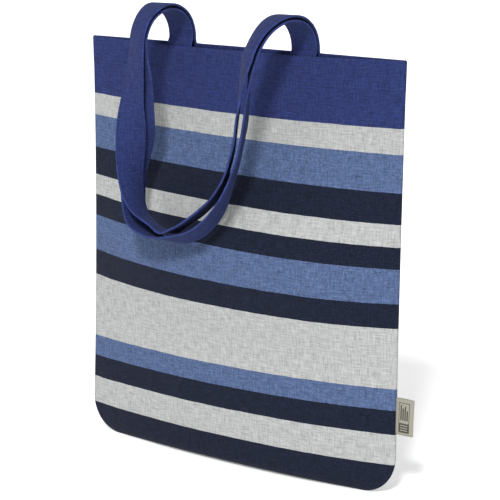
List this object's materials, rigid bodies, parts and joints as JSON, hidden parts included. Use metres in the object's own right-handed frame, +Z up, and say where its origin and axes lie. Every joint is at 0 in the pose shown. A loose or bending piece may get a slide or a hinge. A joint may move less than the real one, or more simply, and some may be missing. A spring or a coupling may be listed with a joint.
{
  "type": "striped cotton tote bag",
  "caption": "Open-topped woven cotton tote bag with horizontal stripes, rounded bottom corners, strap handles hanging over the front and a small side label.",
  "frame": {"origin": "middle of the bottom seam, on the surface that the bag stands on", "axes": "+Z up, X along the bag's width with the label on +X, and the front with the hanging handles facing -Y"},
  "size_m": [0.4006, 0.1214, 0.4611],
  "materials": {
    "striped_cotton": "plain-woven cotton canvas with horizontal indigo, pale grey, mid blue and navy stripes",
    "indigo_cotton": "plain-woven indigo cotton canvas",
    "navy_cotton": "plain-woven navy cotton canvas",
    "strap_cotton": "folded indigo cotton canvas strap, edge-stitched",
    "sewing_thread": "indigo polyester sewing thread",
    "label_tape": "beige-grey woven tape"
  },
  "bodies": {
    "bag": {"front_panel": "striped_cotton", "back_panel": "striped_cotton", "front_hem": "indigo_cotton", "back_hem": "indigo_cotton", "left_seam_allowance": "striped_cotton", "right_seam_allowance": "striped_cotton", "bottom_seam_allowance": "navy_cotton", "hem_stitching": "sewing_thread", "front_handle_ends": "strap_cotton", "back_handle_ends": "strap_cotton", "handle_end_stitching": "sewing_thread"},
    "front_handle_link_1": {"front_handle_link_1": "strap_cotton"},
    "front_handle_link_2": {"front_handle_link_2": "strap_cotton"},
    "front_handle_link_3": {"front_handle_link_3": "strap_cotton"},
    "front_handle_loop": {"front_handle_loop": "strap_cotton"},
    "back_handle_link_1": {"back_handle_link_1": "strap_cotton"},
    "back_handle_link_2": {"back_handle_link_2": "strap_cotton"},
    "back_handle_link_3": {"back_handle_link_3": "strap_cotton"},
    "back_handle_loop": {"back_handle_loop": "strap_cotton"},
    "label": {"side_label": "label_tape"}
  },
  "joints": [
    {"name": "front_handle_unroll_1", "type": "hinge", "parent": "bag", "child": "front_handle_link_1", "pos_m": [0, 0.00128, 0.4382], "axis": [-1, 0, 0], "range_deg": [0, 45]},
    {"name": "front_handle_unroll_2", "type": "hinge", "parent": "front_handle_link_1", "child": "front_handle_link_2", "pos_m": [0, -0.0188, 0.45828], "axis": [-1, 0, 0], "range_deg": [0, 45]},
    {"name": "front_handle_unroll_3", "type": "hinge", "parent": "front_handle_link_2", "child": "front_handle_link_3", "pos_m": [0, -0.0472, 0.45828], "axis": [-1, 0, 0], "range_deg": [0, 45]},
    {"name": "front_handle_lift", "type": "hinge", "parent": "front_handle_link_3", "child": "front_handle_loop", "pos_m": [0, -0.06728, 0.4382], "axis": [-1, 0, 0], "range_deg": [0, 45]},
    {"name": "back_handle_unroll_1", "type": "hinge", "parent": "bag", "child": "back_handle_link_1", "pos_m": [0, 0.00128, 0.4382], "axis": [-1, 0, 0], "range_deg": [0, 45]},
    {"name": "back_handle_unroll_2", "type": "hinge", "parent": "back_handle_link_1", "child": "back_handle_link_2", "pos_m": [0, -0.0188, 0.45828], "axis": [-1, 0, 0], "range_deg": [0, 45]},
    {"name": "back_handle_unroll_3", "type": "hinge", "parent": "back_handle_link_2", "child": "back_handle_link_3", "pos_m": [0, -0.0472, 0.45828], "axis": [-1, 0, 0], "range_deg": [0, 45]},
    {"name": "back_handle_lift", "type": "hinge", "parent": "back_handle_link_3", "child": "back_handle_loop", "pos_m": [0, -0.06728, 0.4382], "axis": [-1, 0, 0], "range_deg": [0, 45]},
    {"name": "label_flap", "type": "hinge", "parent": "bag", "child": "label", "pos_m": [0.1904, 0, 0.082], "axis": [0, 0, 1], "range_deg": [-80, 80]}
  ],
  "couplings": [
    {"joint": "front_handle_unroll_1", "follows": "back_handle_lift", "ratio": 1},
    {"joint": "front_handle_unroll_2", "follows": "back_handle_lift", "ratio": 1},
    {"joint": "front_handle_unroll_3", "follows": "back_handle_lift", "ratio": 1},
    {"joint": "front_handle_lift", "follows": "back_handle_lift", "ratio": 1},
    {"joint": "back_handle_unroll_1", "follows": "back_handle_lift", "ratio": 1},
    {"joint": "back_handle_unroll_2", "follows": "back_handle_lift", "ratio": 1},
    {"joint": "back_handle_unroll_3", "follows": "back_handle_lift", "ratio": 1}
  ]
}
